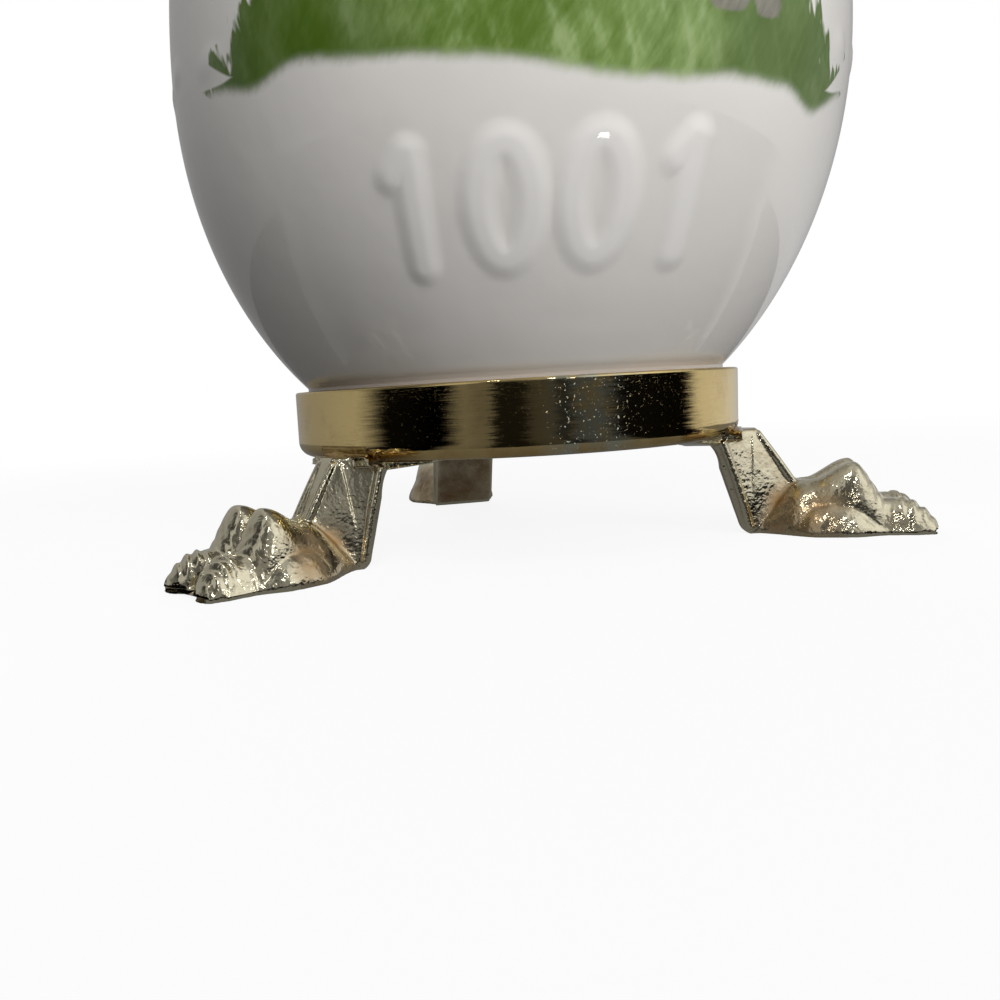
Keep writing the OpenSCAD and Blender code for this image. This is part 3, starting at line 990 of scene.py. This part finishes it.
def bead_paths():
    """Middle lines of the beads that frame the two front panels."""
    paths = []
    head = LEG_H - 1.4 * BEAD_R
    for side in (-1, 1):
        edge = side * (LEG_W / 2 - 0.05)
        ridge = side * (RIDGE_W / 2 - 0.05)
        for start, end, bow in (
                ((EDGE_HEAD_U, edge, head), (HEEL_U, edge, 1.4 * BEAD_R), 0.12),
                ((RIDGE_HEAD_U, ridge, head + LEDGE_RISE),
                 ((RIDGE_HEAD_U + RIDGE_FOOT_U) / 2 + 0.3, ridge, (LEG_H + LEDGE_RISE) / 2 - 0.5),
                 0.06)):
            start, end = np.array(start), np.array(end)
            paths.append([start + (end - start) * k + (bow * math.sin(math.pi * k), 0, 0)
                          for k in np.linspace(0, 1, BEAD_POINTS)])
    return paths


def leg_master(paint):
    """One leg in its own frame, all its forms run together as the casting has them."""
    solid = mesh_object("leg_solids", *gathered([paw_solid(), tab_solid()] + column_solids()))
    lines = bead_paths()
    beads = mesh_object("bead_paths", np.vstack(lines), [],
                        edges=[(BEAD_POINTS * k + i, BEAD_POINTS * k + i + 1)
                               for k in range(len(lines)) for i in range(BEAD_POINTS - 1)])
    use_tree(beads, bead_tree(), {"Bead Radius": BEAD_SHOWN_R * MM, "Sides": 14,
                                  "Material": paint})
    beads = baked("leg_beads", beads)
    with bpy.context.temp_override(active_object=solid, selected_editable_objects=[solid, beads],
                                   selected_objects=[solid, beads], object=solid):
        bpy.ops.object.join()
    remesh = solid.modifiers.new("run together", "REMESH")
    remesh.mode = "VOXEL"
    remesh.voxel_size = REMESH_STEP * MM
    made = baked("leg_master", solid)
    mesh = made.data

    # rounded off a little, and hammered where the leg is neither sole, joint nor bead
    where = vectors(mesh.vertices, "co") / MM
    where = where + 0.5 * (spread_over(mesh, where, 1) - where)
    set_coordinates(mesh, where)
    normal = vectors(mesh.vertex_normals, "vector")
    free = part_way(where[:, 2], 0.5) * part_way(LEG_H - where[:, 2], 0.5)
    free = np.where(where[:, 0] > COLLAR_R, free, free * 0.3)
    for line in lines:
        nearest = np.min([np.linalg.norm(where - p, axis=1) for p in line], axis=0)
        free = free * np.clip((nearest - 0.35) / 0.5, 0.1, 1)
    bumps = 0.028 * dimples(where, 1.3, 1) + 0.008 * dimples(where, 0.5, 2)
    moved = where + normal * (bumps * free)[:, None]

    # toning lies in the hollows, on the instep, on the ledge's head and on the strap's back
    depth = np.einsum("ij,ij->i", spread_over(mesh, moved, 60) - moved, normal)
    u, z = moved[:, 0], moved[:, 2]
    instep = through([(0.02, 0), (0.12, 1), (0.42, 1), (0.62, 0)], (u - HEEL_U) / FOOT_L) \
        * part_way(4.6 - z, 1.5) * (u > HEEL_U)
    head = part_way(z - LEG_H - 0.1, 0.3)
    behind = part_way(HEEL_U - 0.3 - u, 0.4) * (normal[:, 0] < -0.7)
    hollow = np.clip(depth / 0.3, -0.4, 0.6) * 0.5 + 0.6 * instep + 0.4 * head + 0.6 * behind
    moved[:, 2] = np.clip(z, 0, LEG_H + LEDGE_RISE)
    moved[:, 0] = np.minimum(u, TIP_U)
    set_coordinates(mesh, moved)
    store(mesh, "hollow", hollow)
    return made


def leg_pieces(paint):
    """The left, right and rear legs, each from its own copy of the one casting."""
    master = leg_master(paint)
    tree = standing_leg_tree()
    made = []
    for side, angle in LEG_ANGLES.items():
        leg = placed("leg", master.data.copy())
        use_tree(leg, tree, {"Angle": math.radians(angle), "Axis Y": AXIS_Y * MM,
                             "Material": paint})
        made.append(baked(f"cast_{side}_leg", leg))
    bpy.data.objects.remove(master)
    return made


# ---------------- studio

# What reflections show of the room, as (angle from the camera's side, brightness) pairs
STRIPES = [(-77, 0.38), (-57, 0.003), (-30, 0.0), (-20, 0.15), (-10, 0.12), (-5.5, 0.01),
           (4.5, 0.01), (10, 0.045), (17.5, 0.055), (23, 0.02), (30, 0.07), (39.5, 0.08),
           (50.5, 0.004), (83.5, 0.002), (94, 0.6)]
WALLS = [(-180, 0.3), (-120, 0.3), (-75, 0.38), (-30, 0.15), (30, 0.15), (75, 0.55), (120, 0.68),
         (180, 0.3)]
WINDOWS = [(-180, 0.35), (-115, 0.35), (-85, 0.3), (-66, 0.08), (-48, 0.04), (-34, 0.5),
           (-22, 0.5), (-12, 0.1), (4, 0.12), (14, 0.3), (30, 0.25), (42, 0.9), (70, 1.0),
           (95, 0.5), (112, 0.25), (180, 0.35)]
CEILING = 0.45
CARD_R, CARD_LOW, CARD_HIGH = 110, 0.3, 20
TENT = [(130, 1), (130, 12), (130, 30), (130, 60), (128, 110), (110, 170), (60, 210), (15, 225)]
GLOW_TURN, GLOW_Z, GLOW_R, GLOW_HALF, GLOW_LEVEL = 24.5, 19.8, 58, 1.5, 12.0
FLOOR_HALF = 3000
FLOOR_SHOWN, FLOOR_LIGHT = linear(250, 250, 250), linear(92, 92, 92)
WORLD_LIGHT = (0.1, 0.1, 0.1, 1)
BLACK, FULL_WHITE = (0, 0, 0, 1), (1, 1, 1, 1)
LAMP_TARGET = Vector((0, AXIS_Y, 32)) * MM
# Name, angle from the camera's side, rise, distance and size in metres, watts, seen in gloss
LAMPS = (
    ("right_key", 45, 15, 0.58, 0.28, 2.15, False), ("top_key", 0, 60, 0.58, 0.28, 0.6, False),
    ("front_fill", 0, 25, 0.58, 0.28, 0.8, False), ("back_fill", -170, 22, 0.58, 0.28, 1.7, False),
    ("sparkle", 20, 24, 0.12, 0.006, 0.004, True), ("strip", -12, 50, 0.12, 0.012, 0.012, True))


def plain_floor():
    """A floor that the camera sees nearly white, with soft shadows, and that lights as grey."""
    made, tree, shader = material("pale_floor", Roughness=0.9, Specular_IOR_Level=0.0)
    rays = step(tree, "ShaderNodeLightPath").outputs
    shown = calc("MAXIMUM", rays["Is Camera Ray"], times(rays["Is Glossy Ray"], 0.12))
    feed(shader, Base_Color=blend_colours(rays["Is Camera Ray"], FLOOR_LIGHT, FLOOR_SHOWN))
    glow = step(tree, "ShaderNodeEmission", {"Color": FULL_WHITE, "Strength": 1.0})
    away = step(tree, "ShaderNodeVectorMath", {0: object_place(tree)}, operation="LENGTH")
    # Within about 0.2 m of the middle the floor mixes in less of its white glow, so it is a little
    # darker there: a painted shade under the stand.
    share = between(away.outputs["Value"], 0.05, 0.22, 0.9, 1.0)
    feed(tree.nodes["Material Output"], Surface=step(tree, "ShaderNodeMixShader", {
        0: times(shown, share), 1: shader, 2: glow}))
    half = FLOOR_HALF
    mesh_object("floor", [(-half, -half, 0), (half, -half, 0), (half, half, 0),
                                   (-half, half, 0)], [(0, 1, 2, 3)], made)


def for_reflections(card):
    """Leaves the card to gloss and metal alone."""
    card.visible_camera = False
    card.visible_diffuse = False
    card.visible_shadow = False
    card.visible_transmission = False


def glow_material():
    """Paint for the cards and the tent, as bright as their own glow says."""
    made, tree, shader = material("room_glow", Roughness=1.0, Specular_IOR_Level=0.0,
                                  Base_Color=BLACK, Emission_Color=FULL_WHITE)
    feed(shader, Emission_Strength=read(tree, "glow"))
    return made


def curved_card(name, glow, profile, paint):
    """A card round the collar's axis that only reflections show.

    glow has (angle from the camera's side, brightness) pairs, and profile has (radius, z) pairs.
    """
    turns = np.linspace(glow[0][0], glow[-1][0], 4 * int(glow[-1][0] - glow[0][0] + 2))
    points = [round_axis(r, a, z) for a in np.radians(turns + VIEW_ANGLE) for r, z in profile]
    n = len(profile)
    faces = [(n * i + k, n * (i + 1) + k, n * (i + 1) + k + 1, n * i + k + 1)
             for i in range(len(turns) - 1) for k in range(n - 1)]
    card = mesh_object(name, points, faces, paint)
    store(card.data, "glow", np.repeat(through(glow, turns), n))
    for_reflections(card)


def grey_tent(paint):
    """The room that gloss and metal show: walls low down, windows above them, then the ceiling."""
    turns = np.radians(np.arange(-180, 180, 3))
    walls, windows = through(WALLS, np.degrees(turns)), through(WINDOWS, np.degrees(turns))
    points, glow = [], []
    for r, z in TENT:
        higher = part_way(z - 15, 30)
        roof = part_way(z - 110, 80)
        for turn, low, high in zip(turns, walls, windows):
            points.append(round_axis(r, turn + math.radians(VIEW_ANGLE), z))
            glow.append(low + (high + (CEILING - high) * roof - low) * higher)
    n = len(turns)
    faces = [(k * n + i, k * n + (i + 1) % n, (k + 1) * n + (i + 1) % n, (k + 1) * n + i)
             for k in range(len(TENT) - 1) for i in range(n)]
    tent = mesh_object("grey_tent", points, faces, paint)
    store(tent.data, "glow", glow)
    for_reflections(tent)


def white_world():
    """White where it is looked at or reflected, and a weak grey light otherwise."""
    world = bpy.data.worlds.new("studio")
    bpy.context.scene.world = world
    world.use_nodes = True
    tree = world.node_tree
    rays = step(tree, "ShaderNodeLightPath").outputs
    shown = calc("MAXIMUM", rays["Is Camera Ray"], rays["Is Glossy Ray"])
    shown = calc("MAXIMUM", shown, rays["Is Transmission Ray"])
    feed(tree.nodes["Background"], Strength=1.0,
         Color=blend_colours(shown, WORLD_LIGHT, FULL_WHITE))


def lamp(name, turn, rise, away, size, power, in_gloss):
    a, e = math.radians(turn + VIEW_ANGLE), math.radians(rise)
    light = bpy.data.lights.new(name, "AREA")
    light.size = size
    light.energy = power
    shone = placed(name, light)
    shone.location = LAMP_TARGET + away * Vector((
        math.cos(a) * math.cos(e), math.sin(a) * math.cos(e), math.sin(e)))
    shone.rotation_euler = (LAMP_TARGET - shone.location).to_track_quat("-Z", "Y").to_euler()
    shone.visible_glossy = in_gloss


def studio():
    plain_floor()
    paint = glow_material()
    curved_card("graded_card", STRIPES, [(30, CARD_LOW), (CARD_R, CARD_LOW), (CARD_R, CARD_HIGH)],
                paint)
    curved_card("small_glow", [(GLOW_TURN + side * GLOW_HALF, GLOW_LEVEL) for side in (-1, 1)],
                [(GLOW_R, GLOW_Z + side * GLOW_HALF) for side in (-1, 1)], paint)
    grey_tent(paint)
    white_world()
    for values in LAMPS:
        lamp(*values)


# From the fit to the collar, the egg's outline and the feet: radians, pixels and millimetres
CAMERA_PITCH, CAMERA_ROLL, CAMERA_YAW = 0.121, 0.0587, -0.1323
CAMERA_AWAY, CAMERA_Z = 82.735, 13.322
FOCAL_LENGTH, PICTURE_WIDTH, PICTURE_SHIFT = 865.28, 1000, 0.1


def camera():
    """The photograph's viewpoint."""
    pitch, roll, yaw = CAMERA_PITCH, CAMERA_ROLL, CAMERA_YAW
    forward = Vector((math.sin(yaw) * math.cos(pitch), math.cos(yaw) * math.cos(pitch),
                      -math.sin(pitch)))
    right = Vector((math.cos(yaw), -math.sin(yaw), 0))
    up = right.cross(forward)
    x = math.cos(roll) * right - math.sin(roll) * up
    y = math.sin(roll) * right + math.cos(roll) * up
    turn = Matrix.Rotation(math.radians(VIEW_ANGLE + 90), 3, "Z")
    data = bpy.data.cameras.new("camera")
    data.sensor_width = 36
    data.lens = FOCAL_LENGTH * 36 / PICTURE_WIDTH
    data.shift_x = PICTURE_SHIFT
    data.clip_start = 0.005
    eye = placed("camera", data)
    axes = Matrix([turn @ x, turn @ y, turn @ -forward]).transposed().to_4x4()
    place = turn @ Vector((0, -CAMERA_AWAY, 0)) + Vector((0, AXIS_Y, CAMERA_Z))
    eye.matrix_world = Matrix.Translation(place * MM) @ axes
    bpy.context.scene.camera = eye


# ---------------- the whole object

def dress():
    groups = {"hammered": hammered_grain(), "scratches": hairline_scratches(),
              "toning": amber_toning(), "streaks": brush_streaks(), "turning": turning_marks()}
    casting = casting_material(groups)
    egg = egg_piece(porcelain_material(groups))
    collar = collar_piece(collar_material(groups))
    solder = solder_piece(solder_material(groups))
    left, right, rear = leg_pieces(casting)
    for piece, body, node, slot in (
            (egg, "egg", "egg", "porcelain"), (collar, "stand", "collar", "plated_collar"),
            (solder, "stand", "solder_fillets", "solder"),
            (left, "stand", "left_claw_leg", "plated_casting"),
            (right, "stand", "right_claw_leg", "plated_casting"),
            (rear, "stand", "rear_claw_leg", "plated_casting")):
        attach(piece, body)
        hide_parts(node)


camera()
dress()
studio()
bpy.context.scene.view_settings.view_transform = "Standard"
